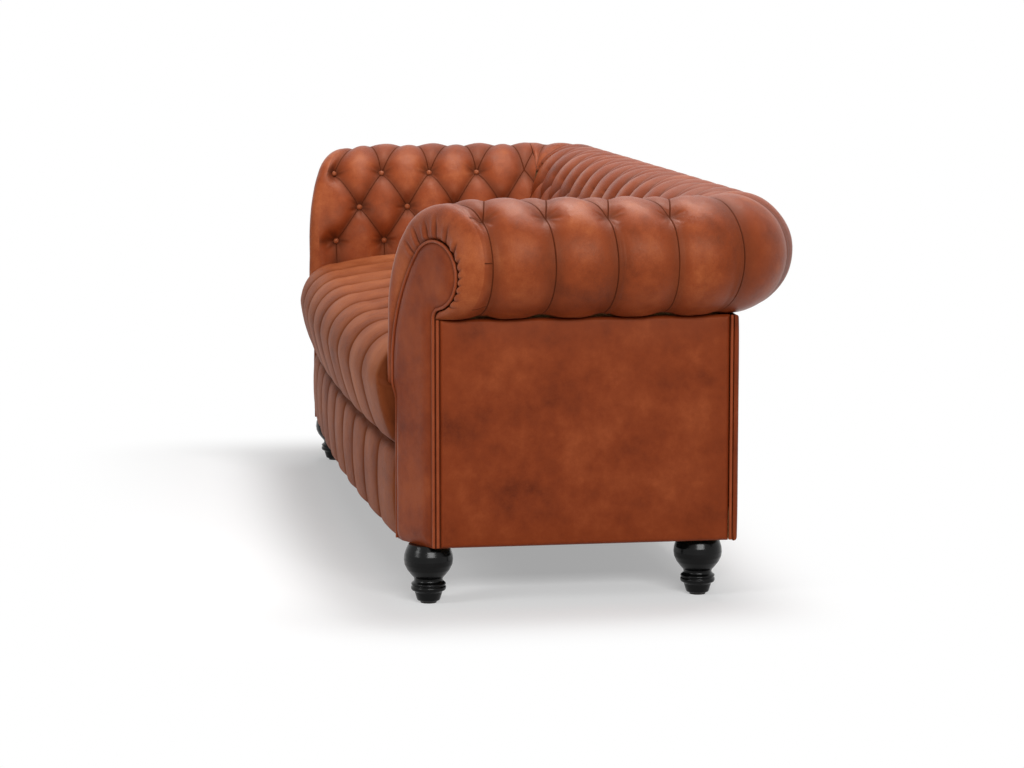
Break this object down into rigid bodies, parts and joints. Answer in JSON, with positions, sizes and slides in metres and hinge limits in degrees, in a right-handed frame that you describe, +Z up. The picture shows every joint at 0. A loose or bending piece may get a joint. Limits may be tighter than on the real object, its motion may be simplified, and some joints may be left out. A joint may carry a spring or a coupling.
{
  "type": "chesterfield sofa",
  "caption": "Chesterfield sofa: scrolled arms and back in deep-tufted leather, a channelled fixed seat, teardrop arm facings and turned black feet.",
  "frame": {"origin": "on the floor, under the middle of the sofa", "axes": "+X along the sofa to its left-hand end as someone sits in it, +Y to the back, +Z up"},
  "size_m": [2.05, 0.81, 0.76],
  "materials": {
    "tufted_leather": "cognac brown leather with a soft sheen, tufted and pleated",
    "seat_leather": "cognac brown leather, sewn into channels",
    "panel_leather": "cognac brown leather stretched over flat panels",
    "piping_leather": "cognac brown leather wrapped round a cord",
    "button_leather": "cognac brown leather-covered buttons",
    "black_wood": "turned hardwood in satin black lacquer",
    "hardwood": "sawn hardwood",
    "plywood": "birch plywood",
    "plated_steel": "zinc-plated steel",
    "spring_steel": "oil-tempered spring wire",
    "foam": "polyurethane foam",
    "webbing": "woven elastic webbing",
    "dust_cloth": "black non-woven cloth",
    "glide_plastic": "nylon glide"
  },
  "bodies": {
    "root": {"arm_buttons_left": "button_leather", "arm_buttons_right": "button_leather", "arm_foam_left": "foam", "arm_foam_right": "foam", "arm_leather_left": "tufted_leather", "arm_leather_right": "tufted_leather", "arm_lower_rail_left": "hardwood", "arm_lower_rail_right": "hardwood", "arm_top_rail_left": "hardwood", "arm_top_rail_right": "hardwood", "arm_webbing": "webbing", "back_buttons": "button_leather", "back_foam": "foam", "back_leather": "tufted_leather", "back_lower_rail": "hardwood", "back_top_rail": "hardwood", "back_upright_left": "hardwood", "back_upright_right": "hardwood", "back_webbing": "webbing", "corner_block_front_left": "hardwood", "corner_block_front_right": "hardwood", "corner_block_rear_left": "hardwood", "corner_block_rear_right": "hardwood", "dust_cloth": "dust_cloth", "facing_left": "panel_leather", "facing_piping_left": "piping_leather", "facing_piping_right": "piping_leather", "facing_right": "panel_leather", "foot_bolts": "plated_steel", "foot_front_left": "black_wood", "foot_front_right": "black_wood", "foot_glides": "glide_plastic", "foot_rear_left": "black_wood", "foot_rear_right": "black_wood", "frame_screws": "plated_steel", "front_border_leather": "seat_leather", "front_post_left": "hardwood", "front_post_right": "hardwood", "front_seat_rail": "hardwood", "outside_arm_left": "panel_leather", "outside_arm_right": "panel_leather", "outside_back": "panel_leather", "panel_piping_left": "piping_leather", "panel_piping_right": "piping_leather", "rear_post_left": "hardwood", "rear_post_right": "hardwood", "rear_seat_rail": "hardwood", "scroll_board_left": "plywood", "scroll_board_right": "plywood", "scroll_border_left": "tufted_leather", "scroll_border_right": "tufted_leather", "seat_cross_rail_left": "hardwood", "seat_cross_rail_right": "hardwood", "seat_foam": "foam", "seat_leather": "seat_leather", "seat_springs": "spring_steel", "side_seat_rail_left": "hardwood", "side_seat_rail_right": "hardwood", "spring_clips": "plated_steel"}
  },
  "joints": []
}
